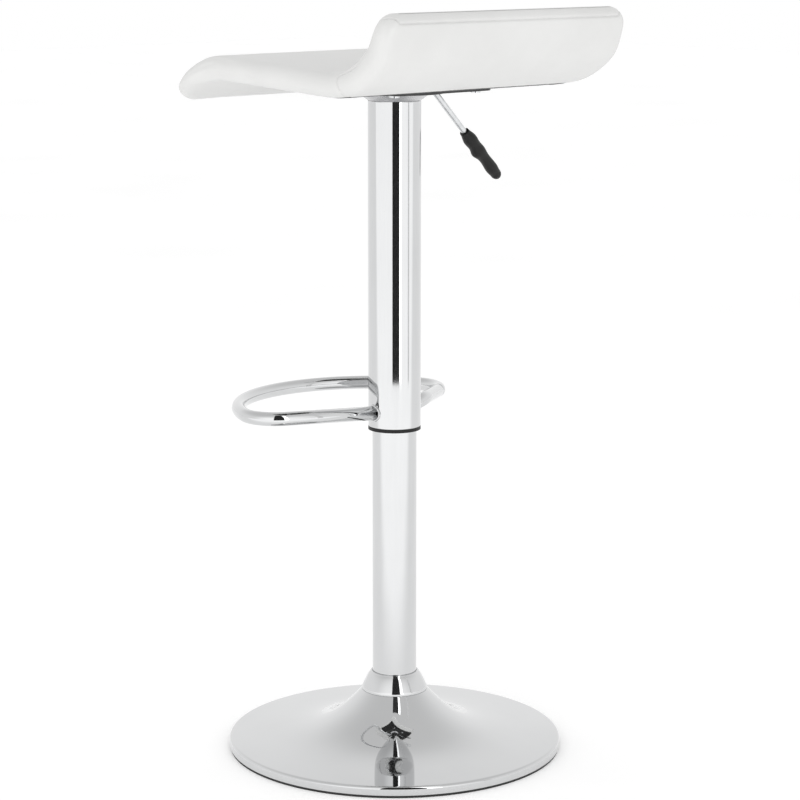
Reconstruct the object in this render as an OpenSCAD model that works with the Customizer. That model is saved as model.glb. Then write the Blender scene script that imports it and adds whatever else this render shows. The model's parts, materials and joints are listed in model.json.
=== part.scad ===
// Height-adjustable swivel bar stool with a wrapped low-back seat.
// Z is up, the floor is z = 0 and the column stands on the Z axis.
// The sitter faces -Y, so the low back is at +Y and the lever is on the sitter's right, at -X.
// The seat is drawn fully raised.

/* [Base] */
// Diameter of the trumpet base
base_d = 385; // [320:1:460]
// Sheet thickness of the trumpet base
base_wall = 2.5; // [1.5:0.1:4]
// Height of the base's neck, where the column stands
neck_z = 67; // [50:1:90]
// Diameter of the base's neck
neck_d = 76; // [70:1:96]
// Height of the rubber floor ring
floor_ring_h = 3; // [2:0.5:6]
// Width of the rubber floor ring
floor_ring_w = 14; // [8:1:24]
// Height of the base's upright rim
rim_side = 6.5; // [4:0.5:10]

/* [Column] */
// Outer diameter of the fixed column
column_d = 50.8; // [46:0.1:54]
// Wall of the fixed column
column_wall = 1.5; // [1:0.1:3]
// Height of the chrome collar at the column's foot
collar_h = 22; // [14:1:40]
// Diameter of the column's threaded stud
stud_d = 16; // [12:1:20]

/* [Sleeve] */
// How much wider the sliding sleeve is than the column
sleeve_step = 9.2; // [7:0.1:20]
// Wall of the sliding sleeve
sleeve_wall = 1.2; // [1:0.1:1.8]
// How far the sleeve reaches down over the column, seat raised
sleeve_lap = 91; // [70:1:110]
// Height of the sleeve's upper end above the floor, seat raised
sleeve_top_z = 748.5; // [720:0.5:800]
// Height of the black bushing's flange under the sleeve
bushing_flange_h = 4; // [2:0.5:8]

/* [Footrest] */
// Diameter of the footrest's tube
foot_tube_d = 16; // [12:0.5:22]
// Wall of the footrest's tube
foot_tube_wall = 1.5; // [1:0.1:2.5]
// Height of the footrest's centre line above the sleeve's lower end
foot_rise = 17; // [12:0.5:40]
// Reach of the footrest's front, from the column's axis
foot_reach = 191; // [180:1:240]
// Half the width of the footrest, to its centre line
foot_half_w = 143; // [130:1:180]
// Radius of the footrest's side bends
foot_bend_r = 38; // [25:1:50]
// Distance of the side bends' centres in front of the axis
foot_bend_y = 84; // [70:1:100]

/* [Gas lift] */
// Outer diameter of the gas cylinder
cylinder_d = 28; // [24:0.5:30]
// Diameter of the piston rod
rod_d = 10; // [8:0.5:12]
// How far the gas cylinder reaches down into the column, seat raised
cylinder_lap = 75; // [72:1:120]
// Stroke of the height adjustment
stroke = 210; // [150:1:220]
// Diameter of the valve pin
valve_pin_d = 8; // [6:0.5:10]

/* [Lever] */
// Diameter of the lever's rod
lever_d = 7; // [6:0.5:8]
// Distance of the lever's pivot from the axis
pivot_x = 20.5; // [18:0.5:22]
// Distance of the lever's bend from the axis
lever_bend_x = 57; // [50:1:70]
// Slope of the lever's outer part, in degrees
lever_slope = 44; // [20:1:60]
// Length of the lever from its bend to the grip's tip
lever_len = 147; // [110:1:170]
// Length of the lever's grip
grip_len = 82; // [60:1:100]
// Largest diameter of the lever's grip
grip_d = 16.5; // [14:0.5:22]

/* [Seat] */
// Width of the seat
seat_w = 380; // [320:1:460]
// Depth of the seat, from its nose to the back of its low back
seat_depth = 360; // [330:1:420]
// Height of the low back's top above the seat's underside at the column's axis
back_h = 84.5; // [76:1:140]
// Backward tilt of the seat, in degrees
seat_tilt = 4; // [0:0.5:6]
// Thickness of the padded seat
pad_t = 28; // [24:1:34]
// Thickness of the bent plywood board
board_t = 10; // [8:0.5:14]
// Radius of the long curve where the seat starts to turn up into the back
scoop_r = 115; // [90:1:140]
// Radius of the tighter curve under the back
back_bend_r = 40; // [36:1:60]
// Lean of the back from upright, in degrees
back_lean = 18; // [5:1:25]
// Radius of the seat's front corners
front_corner_r = 48; // [20:1:70]
// Radius of the back's top corners
top_corner_r = 24; // [15:1:40]

/* [Hidden] */
$fn = 96;

// Clearances between pieces
run_fit = 0.08;
free_gap = 0.3;
hole_gap = 0.5;
cut = 1;
// A bend is this much larger than the straight lengths that run into it, by joint_lap
joint_step = 0.05;
joint_lap = 0.5;

// Heights along the column, seat raised
taper_len = 48;
cylinder_top_z = sleeve_top_z - 2;
taper_z = cylinder_top_z - taper_len;
bushing_lip = 3;
// the hub under the seat stays this far above the column's top when the seat is lowered
top_room = 15.5;
column_top_z = taper_z - stroke - top_room - bushing_lip;
sleeve_z = column_top_z - sleeve_lap;
cylinder_z = column_top_z - cylinder_lap;

// Base
base_r = base_d / 2;
neck_r = neck_d / 2;
rim_corner_r = 3.5;
flare_spread = neck_r * 1.52;
rim_slope = 0.08;
flare_steps = 26;
rim_top_z = floor_ring_h + rim_side + rim_corner_r;
flare_r = base_r - rim_corner_r;
hub_plate_r = neck_r - base_wall - 4;
hub_plate_t = 3;
hub_plate_z = neck_z - base_wall - hub_plate_t;
base_washer_t = 2.5;
spring_washer_t = 2.5;
nut_t = 12;
stud_r = stud_d / 2;
stud_hole_r = stud_r + hole_gap;
base_washer_r = stud_r * 2.1;
spring_washer_r = stud_r * 1.6;
washer_split = 2;
nut_r = stud_r * 1.73;
spring_washer_z = hub_plate_z - base_washer_t - spring_washer_t;
nut_z = spring_washer_z - nut_t;
stud_end_z = nut_z - 3;

// Column and bearing
column_r = column_d / 2;
column_in_r = column_r - column_wall;
plug_t = 8;
bearing_plate_z = neck_z + 33;
bearing_plate_t = 4;
race_t = 1.5;
ball_r = 2;
ball_gap = 0.02;
ball_count = 12;
race_r = 13;
ball_circle_r = 9;
lower_race_z = bearing_plate_z + bearing_plate_t;
ball_z = lower_race_z + race_t;
upper_race_z = ball_z + 2 * ball_r;
rod_z = upper_race_z + race_t;
rod_r = rod_d / 2;
rod_neck_r = rod_r - 1;
clip_t = 1.5;
clip_r = rod_neck_r + 3;
clip_groove_r = rod_neck_r - 0.8;
clip_split = 3;
clip_z = bearing_plate_z - free_gap - clip_t;
rod_end_z = clip_z - 4;
buffer_h = 14;
buffer_r = 9;

// Gas cylinder
cylinder_r = cylinder_d / 2;
cylinder_wall = 1.5;
cylinder_in_r = cylinder_r - cylinder_wall;
taper_drop = 0.7;
valve_block_h = 13;
gland_t = 10;
piston_t = 12;
piston_z = cylinder_z + gland_t + 5;
valve_pin_r = valve_pin_d / 2;
bushing_len = 70;

// Sleeve
sleeve_r = (column_d + sleeve_step) / 2;
sleeve_in_r = sleeve_r - sleeve_wall;
sleeve_bushing_len = 20;
hub_r = cylinder_r + 5;
hub_flange_t = 4;
spacer_t = 6;
spacer_z = taper_z + 6;

// Lever and mechanism
lever_r = lever_d / 2;
lever_z = sleeve_top_z + 7.5;
lever_nose_x = 3;
lever_elbow_r = 14;
lever_boss_r = 5;
lever_boss_half = 5;
lever_pin_r = 2;
ear_t = 2.5;
ear_half_x = 4.5;
ear_h = 13;
grip_r = grip_d / 2;
rod_in_grip = 48;
valve_top_z = lever_z - lever_r - free_gap;
seat_z = sleeve_top_z + 19;
plate_t = 2.5;
plate_w = seat_depth * 4 / 9;
bolt_spacing = plate_w * 0.8;
plate_z = seat_z - plate_t;
boss_r = 56;
boss_wall = 2.5;
boss_z = sleeve_top_z + 8;
boss_floor_t = 2;
dish_r = 41;
dish_wall = 2;
slot_w = lever_d + 2.4;

// Seat
skin_t = 2;
pad_r = pad_t / 2;
board_inset = 12;
panel_inset = 7;
bend_end = 90 - back_lean;
scoop_end = 43;
// the straight part of the underside runs from nose_start_y in front of the axis
// to scoop_start_y behind it
nose_start_y = seat_depth * 2 / 9;
nose_end = 36;
nose_r = seat_depth * 0.314;
// how far the two curves rise and reach back, and what the straight lean above them adds
curve_rise = scoop_r * (cos(seat_tilt) - cos(scoop_end)) + back_bend_r * (cos(scoop_end) - cos(bend_end));
curve_reach = scoop_r * (sin(scoop_end) + sin(seat_tilt)) + back_bend_r * (sin(bend_end) - sin(scoop_end));
lean_rise = back_h - curve_rise - pad_r * (1 + sin(back_lean)) + seat_depth / 5 * tan(seat_tilt);
scoop_start_y = seat_depth / 2 - curve_reach - lean_rise * tan(back_lean);
nose_centre = on_pan(-nose_start_y) - nose_r * upward(-seat_tilt);
scoop_centre = on_pan(scoop_start_y) + scoop_r * upward(-seat_tilt);
bend_centre = scoop_centre - (scoop_r - back_bend_r) * upward(scoop_end);
top_z = seat_z + back_h;
arc_steps = 10;
liner_front_y = nose_start_y + 10;
panel_start_y = scoop_start_y + 31;
bolt_r = 3;
bolt_head_r = 6;
bolt_head_t = 2.3;
washer_t = 1;
washer_r = 8;
tee_r = 4.2;
tee_flange_r = 9;
tee_flange_t = 1.5;

// ---------- shared shapes ----------

// A washer or a plain ring standing on z
module ring(outer, inner, height, z) {
    translate([0, 0, z])
        difference() {
            cylinder(r = outer, h = height);
            translate([0, 0, -cut])
                cylinder(r = inner, h = height + 2 * cut);
        }
}

// Copies its child at the four seat bolts
module at_bolts() {
    tilted()
        for (x = [-1, 1], y = [-1, 1])
            translate([x * bolt_spacing / 2, y * bolt_spacing / 2, 0])
                children();
}

// ---------- base ----------

// Height of the trumpet's outer face at radius r
function flare_z(r) =
    let (
        cone = rim_slope * (flare_r - r),
        bell_h = neck_z - rim_top_z - rim_slope * (flare_r - neck_r),
        bell = exp((neck_r * neck_r - r * r) / (flare_spread * flare_spread))
    )
    rim_top_z + cone + bell_h * bell;

// Radius of step i of the flare, closer together towards the neck
function flare_step_r(i) = neck_r + (flare_r - neck_r) * pow(i / flare_steps, 2);

// A point of the flare, moved into the sheet by depth along the surface's normal
function flare_point(r, depth) =
    let (fall = atan((flare_z(r) - flare_z(r + 0.1)) / 0.1))
    [r - depth * sin(fall), flare_z(r) - depth * cos(fall)];

// The rounded rim's corner, from the flare down to the upright side
function rim_corner(radius) = [
    for (i = [1:6])
        let (a = 90 - i * 15)
        [flare_r + radius * cos(a), rim_top_z - rim_corner_r + radius * sin(a)]
];

module base_shell() {
    outer = [for (i = [0:flare_steps]) flare_point(flare_step_r(i), 0)];
    inner = [for (i = [flare_steps:-1:1]) flare_point(flare_step_r(i), base_wall)];
    color("gainsboro")
        rotate_extrude()
            polygon(concat(
                [[stud_hole_r, neck_z - base_wall], [stud_hole_r, neck_z]],
                outer,
                rim_corner(rim_corner_r),
                [[base_r, floor_ring_h], [base_r - base_wall, floor_ring_h]],
                [[base_r - base_wall, rim_top_z - rim_corner_r]],
                inner,
                [[neck_r - base_wall, neck_z - base_wall]]
            ));
}

module floor_ring() {
    color("#181818")
        ring(base_r - 1, base_r - 1 - floor_ring_w, floor_ring_h, 0);
}

module hub_plate() {
    color("dimgray")
        ring(hub_plate_r, stud_hole_r, hub_plate_t, hub_plate_z);
}

module base_washer() {
    color("silver")
        ring(base_washer_r, stud_hole_r, base_washer_t, hub_plate_z - base_washer_t);
}

module spring_washer() {
    color("gray")
        difference() {
            ring(spring_washer_r, stud_r + free_gap, spring_washer_t, spring_washer_z);
            translate([stud_r, -washer_split / 2, spring_washer_z - cut])
                cube([stud_r, washer_split, spring_washer_t + 2 * cut]);
        }
}

module base_nut() {
    color("silver")
        translate([0, 0, nut_z])
            difference() {
                cylinder(r = nut_r, h = nut_t, $fn = 6);
                translate([0, 0, -cut])
                    cylinder(r = stud_r, h = nut_t + 2 * cut);
            }
}

// ---------- column ----------

module column_plug() {
    color("dimgray")
        union() {
            translate([0, 0, neck_z])
                cylinder(r = column_in_r, h = plug_t);
            translate([0, 0, stud_end_z])
                cylinder(r = stud_r, h = neck_z - stud_end_z + cut);
        }
}

module column_collar() {
    lip_h = 3.5;
    wall = 1.5;
    foot_r = neck_r - 0.5;
    head_r = column_r + 2.6;
    edge_r = 1;
    steps = 8;
    head_z = neck_z + collar_h - edge_r;
    // slightly domed side from the head down to the foot's upright lip
    side = [
        for (i = [0:steps])
            let (t = i / steps)
            [head_r + (foot_r - head_r) * pow(t, 0.8), head_z - (head_z - neck_z - lip_h) * t]
    ];
    inside = [for (i = [steps:-1:1]) side[i] - [wall, wall / 2]];
    color("gainsboro")
        rotate_extrude()
            polygon(concat(
                [[column_r, neck_z + collar_h], [head_r - edge_r, neck_z + collar_h]],
                side,
                [[foot_r, neck_z], [foot_r - wall, neck_z]],
                [for (p = inside) if (p[0] > column_r) p],
                [[column_r, head_z - 2 * wall]]
            ));
}

module column_tube() {
    color("gainsboro")
        ring(column_r, column_in_r, column_top_z - neck_z, neck_z);
}

module guide_bushing() {
    color("#202020")
        difference() {
            union() {
                translate([0, 0, column_top_z - bushing_len])
                    cylinder(r = column_in_r, h = bushing_len);
                translate([0, 0, column_top_z])
                    cylinder(r = column_r, h = bushing_lip);
            }
            translate([0, 0, column_top_z - bushing_len - cut])
                cylinder(r = cylinder_r + run_fit, h = bushing_len + bushing_lip + 2 * cut);
        }
}

module bearing_plate() {
    color("dimgray")
        ring(column_in_r, rod_neck_r + run_fit, bearing_plate_t, bearing_plate_z);
}

module bearing_lower_washer() {
    color("silver")
        ring(race_r, rod_neck_r + run_fit, race_t, lower_race_z);
}

// ---------- rod, which turns with the seat but doesn't rise ----------

module piston_rod() {
    color("silver")
        difference() {
            union() {
                translate([0, 0, rod_z])
                    cylinder(r = rod_r, h = piston_z + piston_t - rod_z);
                translate([0, 0, rod_end_z])
                    cylinder(r = rod_neck_r, h = rod_z - rod_end_z + cut);
            }
            ring(rod_neck_r + cut, clip_groove_r, clip_t, clip_z);
        }
}

module rod_clip() {
    color("gray")
        difference() {
            ring(clip_r, clip_groove_r, clip_t, clip_z);
            translate([0, -clip_split / 2, clip_z - cut])
                cube([clip_r + cut, clip_split, clip_t + 2 * cut]);
        }
}

module bearing_upper_washer() {
    color("silver")
        ring(race_r, rod_neck_r, race_t, upper_race_z);
}

module thrust_balls() {
    color("lightgray")
        for (i = [0:ball_count - 1])
            rotate([0, 0, i * 360 / ball_count])
                translate([ball_circle_r, 0, ball_z + ball_r])
                    sphere(r = ball_r - ball_gap);
}

module stop_buffer() {
    color("#202020")
        ring(buffer_r, rod_r, buffer_h, rod_z);
}

module piston() {
    color("dimgray")
        ring(cylinder_in_r - run_fit, rod_r, piston_t, piston_z);
}

// ---------- carriage: gas cylinder, sleeve and footrest ----------

// The gas cylinder's outside: straight, then a slow taper at the top
module cylinder_outside() {
    translate([0, 0, cylinder_z])
        cylinder(r = cylinder_r, h = taper_z - cylinder_z);
    translate([0, 0, taper_z])
        cylinder(r1 = cylinder_r, r2 = cylinder_r - taper_drop, h = taper_len);
}

module pressure_cylinder() {
    hollow_top_z = cylinder_top_z - valve_block_h;
    color("#303030")
        difference() {
            cylinder_outside();
            translate([0, 0, cylinder_z - cut])
                cylinder(r = cylinder_in_r, h = hollow_top_z - cylinder_z + cut);
            translate([0, 0, hollow_top_z - cut])
                cylinder(r = valve_pin_r + run_fit, h = valve_block_h + 2 * cut);
        }
}

module cylinder_gland() {
    color("#202020")
        ring(cylinder_in_r, rod_r + run_fit, gland_t, cylinder_z);
}

module sleeve_tube() {
    color("gainsboro")
        ring(sleeve_r, sleeve_in_r, sleeve_top_z - sleeve_z, sleeve_z);
}

module sleeve_bushing() {
    bore_r = column_r + run_fit;
    color("#181818")
        union() {
            ring(sleeve_in_r, bore_r, sleeve_bushing_len, sleeve_z);
            ring(sleeve_r, bore_r, bushing_flange_h, sleeve_z - bushing_flange_h);
        }
}

module hub_spacer() {
    color("#202020")
        ring(sleeve_in_r, hub_r, spacer_t, spacer_z);
}

// Section of the footrest's tube, with the step that lets it run into a bend's wall
module foot_section(step) {
    difference() {
        circle(r = foot_tube_d / 2 - step);
        circle(r = foot_tube_d / 2 - foot_tube_wall + step);
    }
}

// One arc of the footrest in plan: centre, radius and the angles it runs between
module foot_arc(centre, radius, from, to, step) {
    translate([centre[0], centre[1], 0])
        rotate([0, 0, from])
            rotate_extrude(angle = to - from)
                translate([radius, 0])
                    foot_section(step);
}

module footrest() {
    bend = [foot_half_w - foot_bend_r, foot_bend_y];
    // front bow through the reach, touching both side bends from outside
    bow_gap = foot_reach - foot_bend_y - foot_bend_r;
    bow_extra = (pow(bend[0], 2) + pow(bow_gap, 2)) / (2 * bow_gap);
    bow_r = bow_extra + foot_bend_r;
    bow_y = foot_reach - bow_r;
    bow_angle = atan2(foot_bend_y - bow_y, bend[0]);
    // straight strut from the sleeve, touching the side bend
    root = [sleeve_r - 4, 3];
    to_bend = bend - root;
    gap = norm(to_bend);
    strut_angle = atan2(to_bend[1], to_bend[0]) - asin(foot_bend_r / gap);
    strut_len = sqrt(gap * gap - foot_bend_r * foot_bend_r) + joint_lap;
    lap_angle = joint_lap / bow_r * 180 / PI;
    color("gainsboro")
        translate([0, 0, sleeve_z + foot_rise])
            mirror([0, 1, 0])
                difference() {
                    union() {
                        foot_arc(
                            [0, bow_y], bow_r, bow_angle - lap_angle, 180 - bow_angle + lap_angle, joint_step
                        );
                        for (side = [0, 1])
                            mirror([side, 0, 0]) {
                                foot_arc(bend, foot_bend_r, strut_angle - 90, bow_angle, 0);
                                translate([root[0], root[1], 0])
                                    rotate([90, 0, 90 + strut_angle])
                                        linear_extrude(height = strut_len)
                                            foot_section(joint_step);
                            }
                    }
                    cylinder(r = sleeve_r, h = 2 * foot_tube_d, center = true);
                }
}

// ---------- carriage: mechanism under the seat ----------

module mech_hub() {
    color("dimgray")
        difference() {
            union() {
                translate([0, 0, taper_z])
                    cylinder(r = hub_r, h = taper_len);
                translate([0, 0, sleeve_top_z - hub_flange_t])
                    cylinder(r = sleeve_in_r, h = hub_flange_t);
            }
            translate([0, 0, taper_z])
                cylinder(r1 = cylinder_r, r2 = cylinder_r - taper_drop, h = taper_len);
            translate([0, 0, cylinder_top_z - cut])
                cylinder(r = cylinder_r - taper_drop, h = sleeve_top_z - cylinder_top_z + 2 * cut);
        }
}

// The slot that the lever passes through, from the hub out past the boss
module lever_slot() {
    translate([-boss_r - 4, -slot_w / 2, lever_z - lever_r - 0.7])
        cube([boss_r - pivot_x, slot_w, plate_z - lever_z + lever_r + 0.7]);
}

module mech_dish() {
    dish_top_z = boss_z + boss_floor_t;
    color("gray")
        difference() {
            rotate_extrude()
                polygon([
                    [sleeve_in_r - 2, sleeve_top_z],
                    [sleeve_r, sleeve_top_z],
                    [dish_r, boss_z],
                    [dish_r, dish_top_z],
                    [dish_r - dish_wall, dish_top_z],
                    [dish_r - dish_wall, boss_z + 0.5],
                    [sleeve_r - 0.5, sleeve_top_z + dish_wall],
                    [sleeve_in_r - 2, sleeve_top_z + dish_wall]
                ]);
            lever_slot();
        }
}

module mech_plate() {
    corner_r = 14;
    boss_rise = boss_r * tan(seat_tilt) - 0.5;
    color("#202020")
        difference() {
            union() {
                tilted()
                    translate([0, 0, plate_z])
                        linear_extrude(height = plate_t) {
                            square([plate_w, plate_w - 2 * corner_r], center = true);
                            square([plate_w - 2 * corner_r, plate_w], center = true);
                            for (x = [-1, 1], y = [-1, 1])
                                translate([x, y] * (plate_w / 2 - corner_r))
                                    circle(r = corner_r);
                        }
                ring(boss_r, boss_r - boss_wall, seat_z - boss_z + boss_rise, boss_z);
                ring(boss_r, dish_r, boss_floor_t, boss_z);
            }
            tilted()
                translate([-plate_w / 2, -plate_w / 2, seat_z])
                    cube([plate_w, plate_w, plate_w]);
            lever_slot();
            at_bolts()
                translate([0, 0, plate_z - cut])
                    cylinder(r = bolt_r + 0.2, h = plate_t + 2 * cut);
        }
}

module lever_bracket() {
    color("dimgray")
        difference() {
            for (side = [0, 1])
                mirror([0, side, 0])
                    translate([-pivot_x - ear_half_x, lever_boss_half + free_gap, sleeve_top_z])
                        cube([2 * ear_half_x, ear_t, ear_h]);
            translate([-pivot_x, 0, lever_z])
                rotate([90, 0, 0])
                    cylinder(r = lever_pin_r, h = plate_w / 4, center = true);
        }
}

module lever_pin() {
    pin_half = lever_boss_half + free_gap + ear_t + 1;
    color("silver")
        translate([-pivot_x, 0, lever_z])
            rotate([90, 0, 0])
                cylinder(r = lever_pin_r, h = 2 * pin_half, center = true);
}

// ---------- lever and valve pin ----------

// Places its child at the elbow's outer end, with +Z running down the slope
module at_lever_slope() {
    translate([
        -lever_bend_x - lever_elbow_r * sin(lever_slope),
        0,
        lever_z - lever_elbow_r * (1 - cos(lever_slope))
    ])
        rotate([0, -90 - lever_slope, 0])
            children();
}

module lever_rod() {
    color("silver")
        difference() {
            union() {
                translate([-lever_nose_x, 0, lever_z])
                    sphere(r = lever_r + joint_step);
                translate([-lever_nose_x, 0, lever_z])
                    rotate([0, -90, 0])
                        cylinder(r = lever_r, h = lever_bend_x - lever_nose_x + joint_lap);
                translate([-lever_bend_x, 0, lever_z - lever_elbow_r])
                    rotate([90, 0, 180])
                        rotate([0, 0, 90 - lever_slope])
                            rotate_extrude(angle = lever_slope)
                                translate([lever_elbow_r, 0])
                                    circle(r = lever_r + joint_step);
                at_lever_slope()
                    translate([0, 0, -joint_lap])
                        cylinder(r = lever_r, h = lever_len - grip_len + rod_in_grip + joint_lap);
                translate([-pivot_x, 0, lever_z])
                    rotate([90, 0, 0])
                        cylinder(r = lever_boss_r, h = 2 * lever_boss_half, center = true);
            }
            translate([-pivot_x, 0, lever_z])
                rotate([90, 0, 0])
                    cylinder(r = lever_pin_r + run_fit / 2, h = 4 * lever_boss_half, center = true);
        }
}

// Radius of the grip at t, from 0 at its mouth to 1 at its tip
function grip_radius(t) =
    let (waist = 0.22 * exp(-pow((t - 0.5) / 0.13, 2)))
    let (tip = t < 0.86 ? 1 : sqrt(max(0, 1 - pow((t - 0.86) / 0.14, 2))))
    grip_r * (0.94 - waist + 0.06 * sin(180 * t)) * tip;

module lever_grip() {
    steps = 32;
    side = [for (i = [0:steps - 1]) [grip_radius(i / steps), grip_len * i / steps]];
    color("#181818")
        at_lever_slope()
            translate([0, 0, lever_len - grip_len])
                difference() {
                    rotate_extrude()
                        polygon(concat([[0, 0]], side, [[0, grip_len]]));
                    translate([0, 0, -cut])
                        cylinder(r = lever_r, h = rod_in_grip + cut);
                }
}

module valve_pin() {
    pin_z = cylinder_top_z - valve_block_h + 3;
    color("silver")
        translate([0, 0, pin_z])
            cylinder(r = valve_pin_r, h = valve_top_z - pin_z);
}

// ---------- seat ----------

// Unit vector square to a line that rises by angle towards the back, in [Y, Z]
function upward(angle) = [-sin(angle), cos(angle)];

// A point of the underside's straight part
function on_pan(y) = [y, seat_z - y * tan(seat_tilt)];

// The seat's side outline, moved in from the underside by depth: front to back
function seat_path(depth) = concat(
    [
        for (i = [0:arc_steps])
            let (a = nose_end - (nose_end + seat_tilt) * i / arc_steps)
            nose_centre + (nose_r + depth) * upward(a)
    ],
    [
        for (i = [0:arc_steps])
            let (a = -seat_tilt + (scoop_end + seat_tilt) * i / arc_steps)
            scoop_centre - (scoop_r - depth) * upward(a)
    ],
    [
        for (i = [1:arc_steps])
            let (a = scoop_end + (bend_end - scoop_end) * i / arc_steps)
            bend_centre - (back_bend_r - depth) * upward(a)
    ],
    [back_top(depth)]
);

// The end of the straight lean, at depth from the outer face
function back_top(depth) =
    let (
        start = bend_centre - back_bend_r * upward(bend_end),
        end_z = top_z - pad_r - pad_r * sin(back_lean),
        run = (end_z - start[1]) / sin(bend_end)
    )
    start + run * [cos(bend_end), sin(bend_end)] + depth * upward(bend_end);

// Tilts its child with the seat, about the point where the axis meets the underside
module tilted() {
    translate([0, 0, seat_z])
        rotate([-seat_tilt, 0, 0])
            translate([0, 0, -seat_z])
                children();
}

// The layer of the seat between two depths, as a side outline
module seat_band(from, to) {
    outer = seat_path(from);
    inner = seat_path(to);
    count = len(inner);
    polygon(concat(outer, [for (i = [1:count]) inner[count - i]]));
}

// Draws a side outline across the seat's width, with Y and Z as its axes
module across_seat(width) {
    rotate([90, 0, 90])
        translate([0, 0, -width / 2])
            linear_extrude(height = width)
                children();
}

// The room inside the seat's rounded corners, drawn in by inset on every edge
module seat_corners(inset) {
    half = seat_w / 2 - inset;
    front = seat_depth / 2 - inset;
    plan_r = front_corner_r - inset;
    high = top_z - inset;
    high_r = top_corner_r - inset;
    low = seat_z - seat_w / 2;
    intersection() {
        translate([0, 0, low])
            linear_extrude(height = seat_w) {
                translate([-half, -front + plan_r])
                    square([2 * half, seat_depth + plan_r]);
                translate([-half + plan_r, -front])
                    square([2 * (half - plan_r), seat_depth]);
                for (side = [-1, 1])
                    translate([side * (half - plan_r), -front + plan_r])
                        circle(r = plan_r);
            }
        translate([0, seat_depth, 0])
            rotate([90, 0, 0])
                linear_extrude(height = 2 * seat_depth) {
                    translate([-half, low])
                        square([2 * half, high - high_r - low]);
                    translate([-half + high_r, low])
                        square([2 * (half - high_r), high - low]);
                    for (side = [-1, 1])
                        translate([side * (half - high_r), high - high_r])
                            circle(r = high_r);
                }
    }
}

// The whole padded seat, with round edges at the nose and at the top of the back
module seat_blank() {
    ends = [seat_path(pad_r)[0], back_top(pad_r)];
    intersection() {
        across_seat(seat_w) {
            seat_band(0, pad_t);
            for (p = ends)
                translate(p)
                    circle(r = pad_r);
        }
        seat_corners(0);
    }
}

module board_blank() {
    intersection() {
        across_seat(seat_w)
            seat_band(skin_t, skin_t + board_t);
        seat_corners(board_inset);
    }
}

module seat_board() {
    color("burlywood")
        difference() {
            board_blank();
            at_bolts() {
                translate([0, 0, seat_z])
                    cylinder(r = tee_r, h = pad_t);
                translate([0, 0, seat_z + skin_t + board_t - tee_flange_t])
                    cylinder(r = tee_flange_r, h = pad_t);
            }
        }
}

// The black cloth under the flat of the seat
module liner_blank() {
    intersection() {
        across_seat(seat_w - 2 * panel_inset)
            seat_band(0, skin_t);
        translate([-seat_w / 2, -liner_front_y, seat_z - seat_w / 2])
            cube([seat_w, liner_front_y + panel_start_y, seat_w]);
    }
}

module seat_liner() {
    color("#202020")
        difference() {
            liner_blank();
            at_bolts()
                translate([0, 0, seat_z - cut])
                    cylinder(r = tee_r, h = skin_t + 2 * cut);
        }
}

// The vinyl panel over the outside of the low back
module back_panel() {
    color("whitesmoke")
        intersection() {
            across_seat(seat_w)
                seat_band(0, skin_t);
            seat_corners(panel_inset);
            translate([-seat_w / 2, panel_start_y, seat_z - seat_w / 2])
                cube([seat_w, seat_depth, seat_w]);
        }
}

module seat_cushion() {
    color("white")
        difference() {
            seat_blank();
            board_blank();
            liner_blank();
            back_panel();
        }
}

// ---------- fasteners ----------

module seat_bolts() {
    head_z = plate_z - washer_t - bolt_head_t;
    color("silver")
        at_bolts() {
            translate([0, 0, head_z])
                cylinder(r = bolt_head_r, h = bolt_head_t);
            translate([0, 0, head_z])
                cylinder(r = bolt_r, h = seat_z + board_t - head_z);
        }
}

module seat_washers() {
    color("gray")
        at_bolts()
            ring(washer_r, bolt_r, washer_t, plate_z - washer_t);
}

module tee_nuts() {
    flange_z = seat_z + skin_t + board_t - tee_flange_t;
    color("silver")
        at_bolts()
            difference() {
                union() {
                    translate([0, 0, seat_z])
                        cylinder(r = tee_r, h = flange_z - seat_z);
                    translate([0, 0, flange_z])
                        cylinder(r = tee_flange_r, h = tee_flange_t);
                }
                translate([0, 0, seat_z - cut])
                    cylinder(r = bolt_r, h = board_t + cut);
            }
}

base_shell();
floor_ring();
hub_plate();
base_washer();
spring_washer();
base_nut();
column_plug();
column_collar();
column_tube();
guide_bushing();
bearing_plate();
bearing_lower_washer();
piston_rod();
rod_clip();
bearing_upper_washer();
thrust_balls();
stop_buffer();
piston();
pressure_cylinder();
cylinder_gland();
sleeve_tube();
sleeve_bushing();
hub_spacer();
footrest();
mech_hub();
mech_dish();
mech_plate();
lever_bracket();
lever_pin();
seat_board();
seat_liner();
back_panel();
seat_cushion();
seat_bolts();
seat_washers();
tee_nuts();
lever_rod();
lever_grip();
valve_pin();
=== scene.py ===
import json
import math

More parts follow.
